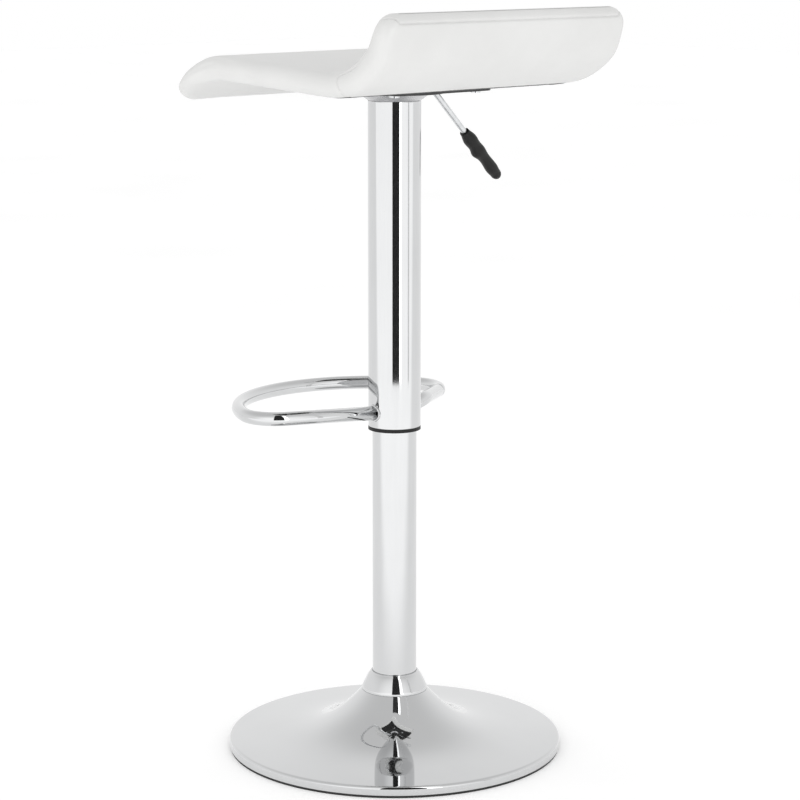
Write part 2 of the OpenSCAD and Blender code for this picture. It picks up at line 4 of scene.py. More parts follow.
import bmesh
import bpy
import numpy as np
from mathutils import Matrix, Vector


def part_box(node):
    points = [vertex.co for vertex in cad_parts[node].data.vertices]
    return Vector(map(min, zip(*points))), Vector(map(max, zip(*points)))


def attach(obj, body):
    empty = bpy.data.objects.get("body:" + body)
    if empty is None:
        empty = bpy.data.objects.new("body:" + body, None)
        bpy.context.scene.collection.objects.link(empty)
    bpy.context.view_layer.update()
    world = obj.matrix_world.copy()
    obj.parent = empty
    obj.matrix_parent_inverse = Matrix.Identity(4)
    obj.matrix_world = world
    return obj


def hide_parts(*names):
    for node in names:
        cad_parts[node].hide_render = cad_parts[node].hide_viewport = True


# The stool: lengths in metres, Z up, the floor at z = 0 and the column on the Z axis.
# The sitter faces -Y and the lever comes out at -X.
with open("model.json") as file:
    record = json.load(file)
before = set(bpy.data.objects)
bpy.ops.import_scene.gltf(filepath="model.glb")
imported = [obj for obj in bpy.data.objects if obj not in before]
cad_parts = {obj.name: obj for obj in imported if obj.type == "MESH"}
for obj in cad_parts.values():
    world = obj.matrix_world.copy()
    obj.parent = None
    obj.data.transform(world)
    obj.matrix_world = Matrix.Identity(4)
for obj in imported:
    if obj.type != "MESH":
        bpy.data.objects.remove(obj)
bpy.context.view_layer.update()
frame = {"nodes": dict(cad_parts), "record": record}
nodes = frame["nodes"]


def low(node):
    """The lowest corner of a CAD node."""
    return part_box(node)[0]


def high(node):
    """The highest corner of a CAD node."""
    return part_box(node)[1]


# ---------- camera ----------

VIEW_TURN = math.radians(135)
VIEW_PITCH = math.radians(10.7)
VIEW_DISTANCE = 2.8
VIEW_HEIGHT = 0.937
toward_camera = Vector((math.sin(VIEW_TURN), -math.cos(VIEW_TURN), 0))
camera_right = Vector((math.cos(VIEW_TURN), math.sin(VIEW_TURN), 0))

camera_data = bpy.data.cameras.new("camera")
camera_data.sensor_width = 36
camera_data.lens = 112.4
camera_data.shift_x = 0.0069
camera = bpy.data.objects.new("camera", camera_data)
camera.location = toward_camera * VIEW_DISTANCE + Vector((0, 0, VIEW_HEIGHT))
camera.rotation_euler = (math.pi / 2 - VIEW_PITCH, 0, VIEW_TURN)
bpy.context.scene.collection.objects.link(camera)
bpy.context.scene.camera = camera
bpy.context.scene.view_settings.view_transform = "Standard"


# ---------- material helpers ----------

def new_material(name):
    """A material with node access: (material, nodes, links, the Principled shader)."""
    material = bpy.data.materials.new(name)
    material.use_nodes = True
    tree = material.node_tree
    shader = tree.nodes["Principled BSDF"]
    return material, tree.nodes, tree.links, shader


def object_noise(tree_nodes, links, scale, detail=3.0, stretch=(1, 1, 1)):
    """A noise texture in the object's own space. Returns the noise node."""
    place = tree_nodes.new("ShaderNodeTexCoord")
    mapping = tree_nodes.new("ShaderNodeMapping")
    mapping.inputs["Scale"].default_value = stretch
    noise = tree_nodes.new("ShaderNodeTexNoise")
    noise.inputs["Scale"].default_value = scale
    noise.inputs["Detail"].default_value = detail
    links.new(place.outputs["Object"], mapping.inputs["Vector"])
    links.new(mapping.outputs["Vector"], noise.inputs["Vector"])
    return noise


def ramp(tree_nodes, links, source, first, last, start=0.3, end=0.7):
    """Blends from first to last, two colours or two greys, as source rises."""
    node = tree_nodes.new("ShaderNodeValToRGB")
    node.color_ramp.elements[0].position = start
    node.color_ramp.elements[1].position = end
    node.color_ramp.elements[0].color = first
    node.color_ramp.elements[1].color = last
    links.new(source, node.inputs["Fac"])
    return node.outputs["Color"]


def grey(value):
    return (value, value, value, 1)


def bump(tree_nodes, links, shader, height, distance, strength=1.0):
    """Joins a height to the shader's normal."""
    node = tree_nodes.new("ShaderNodeBump")
    node.inputs["Distance"].default_value = distance
    node.inputs["Strength"].default_value = strength
    links.new(height, node.inputs["Height"])
    links.new(node.outputs["Normal"], shader.inputs["Normal"])


def varied(name, dark, light, rough_low, rough_high, scale, stretch=(1, 1, 1), metallic=0.0):
    """A material whose colour and roughness drift with one noise."""
    material, tree_nodes, links, shader = new_material(name)
    noise = object_noise(tree_nodes, links, scale, stretch=stretch)
    links.new(ramp(tree_nodes, links, noise.outputs["Fac"], dark, light), shader.inputs["Base Color"])
    rough = ramp(tree_nodes, links, noise.outputs["Fac"], grey(rough_low), grey(rough_high))
    links.new(rough, shader.inputs["Roughness"])
    shader.inputs["Metallic"].default_value = metallic
    return material, tree_nodes, links, shader, noise


# ---------- materials ----------

def make_chrome():
    """Bright plate: almost a mirror, with faint wipe marks."""
    return varied(
        "chrome_plate", (0.63, 0.635, 0.64, 1), (0.66, 0.665, 0.67, 1), 0.018, 0.05, 9, metallic=1.0
    )[0]


def make_rubber():
    material, tree_nodes, links, shader, _ = varied(
        "matt_rubber", grey(0.012), grey(0.022), 0.62, 0.8, 60
    )
    fine = object_noise(tree_nodes, links, 900)
    bump(tree_nodes, links, shader, fine.outputs["Fac"], 0.0002)
    return material


def make_black_plastic():
    material, tree_nodes, links, shader, _ = varied(
        "moulded_plastic", grey(0.006), grey(0.012), 0.42, 0.56, 40
    )
    shader.inputs["Specular IOR Level"].default_value = 0.3
    fine = object_noise(tree_nodes, links, 1400)
    bump(tree_nodes, links, shader, fine.outputs["Fac"], 0.00012)
    return material


def make_plain_steel():
    material, tree_nodes, links, shader, noise = varied(
        "mild_steel", (0.33, 0.33, 0.34, 1), (0.5, 0.5, 0.51, 1), 0.3, 0.5, 30, (1, 1, 6), 1.0
    )
    bump(tree_nodes, links, shader, noise.outputs["Fac"], 0.0001, 0.4)
    return material


def make_zinc():
    return varied(
        "zinc_plate", (0.6, 0.61, 0.62, 1), (0.74, 0.75, 0.76, 1), 0.2, 0.32, 120, metallic=1.0
    )[0]


def make_polished_steel():
    return varied(
        "ground_rod", (0.66, 0.67, 0.68, 1), (0.74, 0.75, 0.76, 1), 0.08, 0.16, 12, (1, 1, 40), 1.0
    )[0]


def make_black_paint():
    material, tree_nodes, links, shader, _ = varied(
        "satin_paint", grey(0.014), grey(0.022), 0.36, 0.46, 25
    )
    shader.inputs["Coat Weight"].default_value = 0.2
    peel = object_noise(tree_nodes, links, 500)
    bump(tree_nodes, links, shader, peel.outputs["Fac"], 0.00008)
    return material


def make_casting():
    return varied(
        "grey_metal", (0.42, 0.42, 0.43, 1), (0.58, 0.58, 0.59, 1), 0.16, 0.3, 45, metallic=1.0
    )[0]


def make_plywood():
    """Bent plywood: long grain along X."""
    material, tree_nodes, links, shader = new_material("bare_plywood")
    grain = object_noise(tree_nodes, links, 30, 6, (1, 14, 14))
    colour = ramp(
        tree_nodes, links, grain.outputs["Fac"], (0.42, 0.27, 0.13, 1), (0.66, 0.48, 0.28, 1)
    )
    links.new(colour, shader.inputs["Base Color"])
    shader.inputs["Roughness"].default_value = 0.6
    bump(tree_nodes, links, shader, grain.outputs["Fac"], 0.0002)
    return material


def make_cloth():
    """Thin non-woven cloth: matted fibres and a dimpled bond pattern."""
    material, tree_nodes, links, shader, _ = varied(
        "non_woven_cloth", grey(0.008), grey(0.02), 0.85, 0.95, 400
    )
    place = tree_nodes.new("ShaderNodeTexCoord")
    dimples = tree_nodes.new("ShaderNodeTexVoronoi")
    dimples.inputs["Scale"].default_value = 500
    links.new(place.outputs["Object"], dimples.inputs["Vector"])
    bump(tree_nodes, links, shader, dimples.outputs["Distance"], 0.0003, 0.6)
    shader.inputs["Sheen Weight"].default_value = 0.15
    return material


def make_vinyl():
    """Soft white vinyl with a fine pebbled grain."""
    material, tree_nodes, links, shader, _ = varied(
        "white_vinyl_cover", (0.66, 0.66, 0.652, 1), (0.7, 0.7, 0.693, 1), 0.36, 0.5, 14
    )
    place = tree_nodes.new("ShaderNodeTexCoord")
    grain = tree_nodes.new("ShaderNodeTexVoronoi")
    grain.inputs["Scale"].default_value = 850
    links.new(place.outputs["Object"], grain.inputs["Vector"])
    slack = object_noise(tree_nodes, links, 120, 2)
    add = tree_nodes.new("ShaderNodeMath")
    add.operation = "MULTIPLY_ADD"
    add.inputs[1].default_value = 0.5
    links.new(slack.outputs["Fac"], add.inputs[0])
    links.new(grain.outputs["Distance"], add.inputs[2])
    bump(tree_nodes, links, shader, add.outputs["Value"], 0.00012, 0.7)
    shader.inputs["Specular IOR Level"].default_value = 0.45
    return material


finishes = {
    "chrome": make_chrome(),
    "black_rubber": make_rubber(),
    "black_plastic": make_black_plastic(),
    "plain_steel": make_plain_steel(),
    "zinc_steel": make_zinc(),
    "polished_steel": make_polished_steel(),
    "black_paint": make_black_paint(),
    "grey_casting": make_casting(),
    "plywood": make_plywood(),
    "black_cloth": make_cloth(),
    "white_vinyl": make_vinyl(),
}
slot_of = {part["node"]: part["material_slot"] for part in frame["record"]["subparts"]}
for node_name, node_object in nodes.items():
    for place in node_object.material_slots:
        place.material = finishes[slot_of[node_name]]


# ---------- building pieces ----------

def link_piece(name, mesh, body, slot_name, *replaced):
    """Makes mesh a smooth piece that rides on body, with the finish of a record slot."""
    piece = bpy.data.objects.new(name, mesh)
    bpy.context.scene.collection.objects.link(piece)
    mesh.materials.clear()
    mesh.materials.append(finishes[slot_name])
    mesh.polygons.foreach_set("use_smooth", [True] * len(mesh.polygons))
    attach(piece, body)
    if replaced:
        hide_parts(*replaced)
    return piece


def mesh_from(name, points, faces):
    """A mesh with its faces turned outward."""
    mesh = bpy.data.meshes.new(name)
    mesh.from_pydata([tuple(p) for p in points], [], faces)
    build = bmesh.new()
    build.from_mesh(mesh)
    bmesh.ops.recalc_face_normals(build, faces=build.faces)
    build.to_mesh(mesh)
    build.free()
    return mesh


def lathe_mesh(name, profile, steps=192, sharp=30):
    """Turns a closed profile of (radius, height) points about Z."""
    count = len(profile)
    points = []
    for i in range(steps):
        turn = 2 * math.pi * i / steps
        points += [(r * math.cos(turn), r * math.sin(turn), z) for r, z in profile]
    faces = []
    for i in range(steps):
        a = i * count
        b = (i + 1) % steps * count
        for k in range(count):
            n = (k + 1) % count
            faces.append((a + k, b + k, b + n, a + n))
    mesh = mesh_from(name, points, faces)
    mesh.set_sharp_from_angle(angle=math.radians(sharp))
    return mesh


def round_corner(centre, radius, start, end, steps=5):
    """Points of a small arc in a profile, with the angles in degrees."""
    return [
        (
            centre[0] + radius * math.cos(math.radians(start + (end - start) * i / steps)),
            centre[1] + radius * math.sin(math.radians(start + (end - start) * i / steps)),
        )
        for i in range(steps + 1)
    ]


def tube_profile(outer, inner, bottom, top, edge):
    """A tube's wall in section, with rounded lips. The points beside each lip keep its shading short."""
    beside = 3 * edge
    return (
        round_corner((outer - edge, bottom + edge), edge, -90, 0)
        + [(outer, bottom + beside), (outer, top - beside)]
        + round_corner((outer - edge, top - edge), edge, 0, 90)
        + round_corner((inner + edge, top - edge), edge, 90, 180)
        + [(inner, top - beside), (inner, bottom + beside)]
        + round_corner((inner + edge, bottom + edge), edge, 180, 270)
    )


def sweep_mesh(name, path, frames, radius_at, around=32, closed=False):
    """Sweeps a ring along path. frames gives each point's two side directions."""
    points, faces = [], []
    for i, (p, (side, up)) in enumerate(zip(path, frames)):
        for k in range(around):
            turn = 2 * math.pi * k / around
            points.append(p + radius_at(i, turn) * (math.cos(turn) * side + math.sin(turn) * up))
    rings = len(path)
    for i in range(rings if closed else rings - 1):
        a, b = i * around, (i + 1) % rings * around
        for k in range(around):
            n = (k + 1) % around
            faces.append((a + k, a + n, b + n, b + k))
    if not closed:
        faces.append(tuple(range(around)))
        faces.append(tuple(range((rings - 1) * around, rings * around)))
    return mesh_from(name, points, faces)


# ---------- base ----------

BASE_R = high("base_shell").x
RIM_FOOT_Z = low("base_shell").z
NECK_Z = high("base_shell").z
NECK_R = 0.038
BASE_WALL = 0.0025
RIM_SIDE = 0.0065
RIM_CORNER_R = 0.0035
FLARE_SPREAD = NECK_R * 1.52
RIM_SLOPE = 0.08
STUD_HOLE_R = 0.0085
FLARE_STEPS = 90
rim_top_z = RIM_FOOT_Z + RIM_SIDE + RIM_CORNER_R
flare_r = BASE_R - RIM_CORNER_R


def flare_z(r):
    """Height of the trumpet's outer face at radius r."""
    cone = RIM_SLOPE * (flare_r - r)
    bell_h = NECK_Z - rim_top_z - RIM_SLOPE * (flare_r - NECK_R)
    return rim_top_z + cone + bell_h * math.exp((NECK_R**2 - r**2) / FLARE_SPREAD**2)


def flare_point(i, depth):
    """Step i of the flare, moved into the sheet by depth."""
    r = NECK_R + (flare_r - NECK_R) * (i / FLARE_STEPS) ** 2
    fall = math.atan((flare_z(r) - flare_z(r + 0.0001)) / 0.0001)
    return (r - depth * math.sin(fall), flare_z(r) - depth * math.cos(fall))


base_profile = (
    [(STUD_HOLE_R, NECK_Z - BASE_WALL), (STUD_HOLE_R, NECK_Z)]
    + [flare_point(i, 0) for i in range(FLARE_STEPS)]
    + round_corner((flare_r, rim_top_z - RIM_CORNER_R), RIM_CORNER_R, 88, 0, 10)
    + [(BASE_R, RIM_FOOT_Z), (BASE_R - BASE_WALL, RIM_FOOT_Z)]
    + [(BASE_R - BASE_WALL, rim_top_z - RIM_CORNER_R)]
    + [flare_point(i, BASE_WALL) for i in range(FLARE_STEPS, 1, -1)]
    + [(NECK_R - BASE_WALL, NECK_Z - BASE_WALL)]
)
link_piece("trumpet_base", lathe_mesh("trumpet_base", base_profile, 256), "base", "chrome", "base_shell")

COLUMN_R = high("column_tube").x
collar_low = low("column_collar").z
collar_high = high("column_collar").z
COLLAR_FOOT_R = high("column_collar").x
COLLAR_HEAD_R = COLUMN_R + 0.0026
COLLAR_LIP = 0.0035
COLLAR_EDGE = 0.001
COLLAR_GAP = 0.0001


def collar_side(steps=24):
    """The collar's slightly domed side, from its head to its upright lip."""
    top = collar_high - COLLAR_EDGE
    drop = top - collar_low - COLLAR_LIP
    return [
        (COLLAR_HEAD_R + (COLLAR_FOOT_R - COLLAR_HEAD_R) * (i / steps) ** 0.8, top - drop * i / steps)
        for i in range(steps + 1)
    ]


collar_profile = (
    [(COLUMN_R + COLLAR_GAP, collar_high - 0.0006), (COLUMN_R + 0.0007, collar_high)]
    + round_corner((COLLAR_HEAD_R - COLLAR_EDGE, collar_high - COLLAR_EDGE), COLLAR_EDGE, 90, 20)
    + collar_side()[1:]
    + [(COLLAR_FOOT_R, collar_low + 0.0003), (COLLAR_FOOT_R - 0.0003, collar_low)]
    + [(COLLAR_FOOT_R - 0.0015, collar_low), (COLUMN_R + COLLAR_GAP, collar_low + 0.015)]
)
link_piece("collar_cover", lathe_mesh("collar_cover", collar_profile), "base", "chrome", "column_collar")

tube_top = high("column_tube").z
link_piece(
    "column_tube_cover",
    lathe_mesh("column_tube_cover", tube_profile(COLUMN_R, COLUMN_R - 0.0015, NECK_Z, tube_top, 0.0005)),
    "base", "chrome", "column_tube",
)

# ---------- sleeve ----------

SLEEVE_R = high("sleeve_tube").x
SLEEVE_WALL = 0.0012
sleeve_low = low("sleeve_tube").z
sleeve_high = high("sleeve_tube").z
link_piece(
    "sleeve_cover",
    lathe_mesh(
        "sleeve_cover", tube_profile(SLEEVE_R, SLEEVE_R - SLEEVE_WALL, sleeve_low, sleeve_high, 0.0005)
    ),
    "carriage", "chrome", "sleeve_tube",
)

# ---------- footrest ----------

foot_z = (low("footrest").z + high("footrest").z) / 2
foot_tube_r = (high("footrest").z - low("footrest").z) / 2
foot_half_w = high("footrest").x - foot_tube_r
foot_reach = -low("footrest").y - foot_tube_r
FOOT_BEND_R = 0.038
FOOT_BEND_Y = 0.084
FOOT_ROOT = (SLEEVE_R - 0.003, 0.003)


def arc_points(centre, radius, start, end, steps):
    """Points of an arc in plan."""
    found = []
    for i in range(steps + 1):
        a = start + (end - start) * i / steps
        found.append((centre[0] + radius * math.cos(a), centre[1] + radius * math.sin(a)))
    return found


def footrest_half():
    """The +X half of the footrest's centre line, from the sleeve to the front, and its strut's angle."""
    bend = (foot_half_w - FOOT_BEND_R, FOOT_BEND_Y)
    bow_gap = foot_reach - FOOT_BEND_Y - FOOT_BEND_R
    bow_r = (bend[0] ** 2 + bow_gap**2) / (2 * bow_gap) + FOOT_BEND_R
    bow_y = foot_reach - bow_r
    bow_angle = math.atan2(FOOT_BEND_Y - bow_y, bend[0])
    over, along = bend[0] - FOOT_ROOT[0], bend[1] - FOOT_ROOT[1]
    gap = math.hypot(over, along)
    strut_angle = math.atan2(along, over) - math.asin(FOOT_BEND_R / gap)
    line = [FOOT_ROOT] + arc_points(bend, FOOT_BEND_R, strut_angle - math.pi / 2, bow_angle, 28)
    bow = arc_points((0, bow_y), bow_r, bow_angle, math.pi / 2, 32)
    return line + bow[1:], strut_angle


half_line, strut_angle = footrest_half()
plan_line = half_line + [(-x, y) for x, y in half_line[-2::-1]]
foot_path = [Vector((x, -y, foot_z)) for x, y in plan_line]


def plan_frames(path):
    """Side and up directions for a path that lies level."""
    found = []
    for i in range(len(path)):
        ahead = path[min(i + 1, len(path) - 1)] - path[max(i - 1, 0)]
        side = Vector((ahead.y, -ahead.x, 0)).normalized()
        found.append((side, Vector((0, 0, 1))))
    return found


foot_frames = plan_frames(foot_path)
strut_way = Vector((math.cos(strut_angle), -math.sin(strut_angle), 0))
foot_frames[0] = (Vector((strut_way.y, -strut_way.x, 0)), Vector((0, 0, 1)))
foot_frames[1] = foot_frames[0]
last_side = Vector((foot_frames[0][0].x, -foot_frames[0][0].y, 0))
foot_frames[-1] = (last_side, Vector((0, 0, 1)))
foot_frames[-2] = foot_frames[-1]
link_piece(
    "footrest_loop",
    sweep_mesh("footrest_loop", foot_path, foot_frames, lambda i, turn: foot_tube_r, 40),
    "carriage", "chrome", "footrest",
)

WELD_R = 0.0017
WELD_STEPS = 72
WELD_CLEARANCE = 0.0004
# the weld's ripples: (share of its radius, turn from one step to the next)
WELD_RIPPLES = ((0.16, 2.6), (0.08, 1.1))


def weld_mesh(name, side):
    """A rippled fillet of weld where a strut meets the sleeve. side is 1 or -1."""
    way = Vector((side * math.cos(strut_angle), -math.sin(strut_angle), 0))
    across = Vector((-way.y, way.x, 0))
    root = Vector((side * FOOT_ROOT[0], -FOOT_ROOT[1], foot_z))
    reach = foot_tube_r + WELD_CLEARANCE
    path, frames, ripple = [], [], []
    for i in range(WELD_STEPS):
        turn = 2 * math.pi * i / WELD_STEPS
        start = root - way * 0.02 + across * reach * math.cos(turn) + Vector((0, 0, reach * math.sin(turn)))
        # out along the strut to the sleeve's surface
        b = start.x * way.x + start.y * way.y
        c = start.x**2 + start.y**2 - SLEEVE_R**2
        path.append(start + way * (-b + math.sqrt(b * b - c)))
        out = Vector((path[-1].x, path[-1].y, 0)).normalized()
        frames.append((out, (across * math.cos(turn) + Vector((0, 0, math.sin(turn)))).normalized()))
        ripple.append(WELD_R * (1 + sum(share * math.sin(i * rate) for share, rate in WELD_RIPPLES)))
    return sweep_mesh(name, path, frames, lambda i, turn: ripple[i], 10, True)


for weld_side, weld_name in ((1, "weld_left"), (-1, "weld_right")):
    link_piece(weld_name, weld_mesh(weld_name, weld_side), "carriage", "chrome")

# ---------- lever grip ----------

LEVER_SLOPE = math.radians(44)
GRIP_LEN = 0.082
GRIP_MOUTH_R = 0.00776
# radius of the grip at shares of its length, from its mouth to where its round tip starts
GRIP_TIP_START = 0.9
GRIP_SHAPE = (
    (0, 0.0056), (0.17, 0.0082), (0.31, 0.0074), (0.4, 0.008),
    (0.57, 0.0068), (0.78, 0.0074), (GRIP_TIP_START, 0.0064),
)
FINGER_STOP = 0.0017
FINGER_HOLLOW = 0.0008


def smooth(share):
    """Eases a share from 0 to 1."""
    held = min(max(share, 0.0), 1.0)
    return held * held * (3 - 2 * held)


def grip_round_r(t):
    """The grip's mean radius at share t of its length."""
    if t >= GRIP_TIP_START:
        over = (t - GRIP_TIP_START) / (1 - GRIP_TIP_START)
        return GRIP_SHAPE[-1][1] * math.sqrt(max(1 - over * over, 0.0004))
    for (t0, r0), (t1, r1) in zip(GRIP_SHAPE, GRIP_SHAPE[1:]):
        if t <= t1:
            return r0 + (r1 - r0) * smooth((t - t0) / (t1 - t0))
    return GRIP_SHAPE[-1][1]


def grip_mesh(steps=72):
    """A moulded grip: a collar, a stop for the finger on its under side and a round tip."""
    way = Vector((-math.cos(LEVER_SLOPE), 0, -math.sin(LEVER_SLOPE)))
    up = Vector((-math.sin(LEVER_SLOPE), 0, math.cos(LEVER_SLOPE)))
    mouth = Vector((high("lever_grip").x, 0, high("lever_grip").z))
    mouth -= Vector((math.sin(LEVER_SLOPE), 0, math.cos(LEVER_SLOPE))) * GRIP_MOUTH_R
    shares = [1 - math.cos(math.pi / 2 * i / steps) for i in range(steps + 1)]
    shares = [1 - share for share in reversed(shares)]
    path = [mouth + way * (GRIP_LEN * t) for t in shares]

    def radius_at(i, turn):
        t = shares[i]
        under = max(0.0, -math.sin(turn)) ** 1.5
        stop = FINGER_STOP * math.exp(-(((t - 0.4) / 0.07) ** 2))
        hollow = FINGER_HOLLOW * math.exp(-(((t - 0.62) / 0.1) ** 2))
        return grip_round_r(t) + under * (stop - hollow)

    return sweep_mesh("lever_grip_cover", path, [(Vector((0, 1, 0)), up)] * len(path), radius_at, 40)


link_piece("lever_grip_cover", grip_mesh(), "lever", "black_plastic", "lever_grip")

# ---------- seat: the side outline ----------

SEAT_Z = sleeve_high + 0.019
SEAT_TILT = math.radians(4)
PAD_T = 0.0255
PAD_R = PAD_T / 2
NOSE_R = 0.113
NOSE_END = math.radians(36)
SCOOP_R = 0.115
SCOOP_END = math.radians(43)
BEND_R = 0.040
BACK_LEAN = math.radians(18)
FRONT_CORNER_R = 0.048
TOP_CORNER_R = 0.024
BEND_END = math.pi / 2 - BACK_LEAN
ARC_STEPS = 40
BEND_STEPS = 30
LEAN_STEPS = 20
seat_half_w = high("seat_cushion").x
seat_top_z = high("seat_cushion").z
SEAT_DEPTH = 0.36
nose_start_y = SEAT_DEPTH * 2 / 9
curve_rise = SCOOP_R * (math.cos(SEAT_TILT) - math.cos(SCOOP_END))
curve_rise += BEND_R * (math.cos(SCOOP_END) - math.cos(BEND_END))
curve_reach = SCOOP_R * (math.sin(SCOOP_END) + math.sin(SEAT_TILT))
curve_reach += BEND_R * (math.sin(BEND_END) - math.sin(SCOOP_END))
lean_rise = seat_top_z - SEAT_Z - curve_rise - PAD_R * (1 + math.sin(BACK_LEAN))
lean_rise += SEAT_DEPTH / 5 * math.tan(SEAT_TILT)
scoop_start_y = SEAT_DEPTH / 2 - curve_reach - lean_rise * math.tan(BACK_LEAN)


def upward(angle):
    """Unit vector square to a line that rises by angle towards the back, in (y, z)."""
    return np.array([-math.sin(angle), math.cos(angle)])


def on_pan(y):
    return np.array([y, SEAT_Z - y * math.tan(SEAT_TILT)])


def outline():
    """The underside's line from the nose to the back's top, as (point, slope) pairs."""
    nose_centre = on_pan(-nose_start_y) - NOSE_R * upward(-SEAT_TILT)
    scoop_centre = on_pan(scoop_start_y) + SCOOP_R * upward(-SEAT_TILT)
    bend_centre = scoop_centre - (SCOOP_R - BEND_R) * upward(SCOOP_END)
    found = []
    for a in np.linspace(NOSE_END, -SEAT_TILT, ARC_STEPS):
        found.append((nose_centre + NOSE_R * upward(a), a))
    for y in np.linspace(-nose_start_y, scoop_start_y, ARC_STEPS)[1:]:
        found.append((on_pan(y), -SEAT_TILT))
    for a in np.linspace(-SEAT_TILT, SCOOP_END, ARC_STEPS)[1:]:
        found.append((scoop_centre - SCOOP_R * upward(a), a))
    for a in np.linspace(SCOOP_END, BEND_END, BEND_STEPS)[1:]:
        found.append((bend_centre - BEND_R * upward(a), a))
    start = found[-1][0]
    end_z = seat_top_z - PAD_R - PAD_R * math.sin(BACK_LEAN)
    run = (end_z - start[1]) / math.sin(BEND_END)
    for t in np.linspace(0, run, LEAN_STEPS)[1:]:
        found.append((start + t * np.array([math.cos(BEND_END), math.sin(BEND_END)]), BEND_END))
    return found


outline_points = outline()
middle = np.array([p + PAD_R * upward(a) for p, a in outline_points])
slopes = np.array([a for p, a in outline_points])
travel = np.concatenate([[0], np.cumsum(np.linalg.norm(np.diff(middle, axis=0), axis=1))])
seat_len = travel[-1]


def station(s):
    """The middle of the pad at distance s from the nose: (point, slope)."""
    inside = min(max(s, 0), seat_len)
    point = np.array([np.interp(inside, travel, middle[:, k]) for k in (0, 1)])
    return point, float(np.interp(inside, travel, slopes))


def half_width(s):
    """Half the seat's width at distance s from the nose, inside the rounded corners."""
    half = seat_half_w
    for from_end, radius in ((s + PAD_R, FRONT_CORNER_R), (seat_len + PAD_R - s, TOP_CORNER_R)):
        if from_end < radius:
            rest = radius**2 - (radius - max(from_end, 0.0)) ** 2
            half = min(half, seat_half_w - radius + math.sqrt(rest))
    return half


ACROSS_STEPS = 64
SIDE_STEPS = 10
CAP_STEPS = 9
BODY_STEPS = 88
# the nose's corners are pulled down and thinner
CORNER_REACH = 0.085
CORNER_DROP = 0.011
# the cover lies deeper where the cloth liner is stapled under it
PANEL_INSET = 0.007
LINER_RECESS = 0.0009
LINER_EDGE = 0.003
under_y = [p[0] for p, a in outline_points]
liner_start = float(np.interp(low("seat_liner").y, under_y, travel))
panel_start = float(np.interp(low("back_panel").y, under_y, travel))


# the foam fills the inside of the bend under the back
BEND_FILL = 0.006
BEND_FILL_REACH = 0.028
# behind the nose the slope only rises
bend_s = float(np.interp(SCOOP_END, slopes[ARC_STEPS:], travel[ARC_STEPS:]))


def corner_share(x, half, s):
    """How near a point is to a front corner: 1 at the corner, 0 away from it."""
    return smooth(1 - (half - abs(x)) / CORNER_REACH) * smooth(1 - (s + PAD_R) / CORNER_REACH)


def under_liner(x, s):
    """Whether a point of the underside lies above the liner."""
    inside = abs(x) < seat_half_w - PANEL_INSET + LINER_EDGE / 2
    return inside and liner_start - LINER_EDGE < s < panel_start + LINER_EDGE


def section_places():
    """Where the sections stand: (distance from the nose, angle of the rounded end)."""
    places = []
    for i in range(CAP_STEPS, 0, -1):
        places.append((0.0, -math.pi / 2 * i / CAP_STEPS))
    for i in range(BODY_STEPS + 1):
        places.append((seat_len * i / BODY_STEPS, 0.0))
    for i in range(1, CAP_STEPS + 1):
        places.append((seat_len, math.pi / 2 * i / CAP_STEPS))
    return places


def seat_shell():
    """The whole pad as rings of points, each a row of x, y, z, latitude, turn and distance from the nose."""
    rows = []
    for s, cap in section_places():
        point, slope = station(s)
        ahead = np.array([math.cos(slope), math.sin(slope)])
        point = point + ahead * PAD_R * math.sin(cap)
        half_t = PAD_R * max(math.cos(cap), 0.0)
        half = half_width(s + PAD_R * math.sin(cap))
        flat = half - half_t
        ring = []
        for k in range(ACROSS_STEPS + 1):
            ring.append((-flat + 2 * flat * k / ACROSS_STEPS, -half_t, -math.pi / 2, 0.0))
        for k in range(1, SIDE_STEPS):
            a = -math.pi / 2 + math.pi * k / SIDE_STEPS
            ring.append((flat + half_t * math.cos(a), half_t * math.sin(a), a, math.cos(a)))
        for k in range(ACROSS_STEPS, -1, -1):
            ring.append((-flat + 2 * flat * k / ACROSS_STEPS, half_t, math.pi / 2, 0.0))
        for k in range(SIDE_STEPS - 1, 0, -1):
            a = -math.pi / 2 + math.pi * k / SIDE_STEPS
            ring.append((-flat - half_t * math.cos(a), half_t * math.sin(a), a, math.cos(a)))
        normal = upward(slope)
        for x, d, a, sideways in ring:
            if cap == 0 and a == -math.pi / 2 and under_liner(x, s):
                d += LINER_RECESS
            elif a > 0:
                d += BEND_FILL * math.exp(-(((s - bend_s) / BEND_FILL_REACH) ** 2)) * math.sin(a)
            yz = point + normal * d
            yz[1] -= CORNER_DROP * corner_share(x, seat_half_w, s) * (0.55 + 0.45 * math.sin(a))
            latitude = math.asin(math.cos(cap) * math.sin(a))
            turn = math.atan2(math.cos(cap) * sideways, abs(math.sin(cap)))
            rows.append((x, yz[0], yz[1], latitude, turn, s + PAD_R * math.sin(cap)))
    return np.array(rows)


shell = seat_shell()
ring_count = 2 * (ACROSS_STEPS + 1) + 2 * (SIDE_STEPS - 1)
section_count = len(section_places())


def shell_faces():
    faces = []
    for i in range(section_count - 1):
        for k in range(ring_count):
            n = (k + 1) % ring_count
            a, b = i * ring_count, (i + 1) * ring_count
            faces.append((a + k, a + n, b + n, b + k))
    return faces


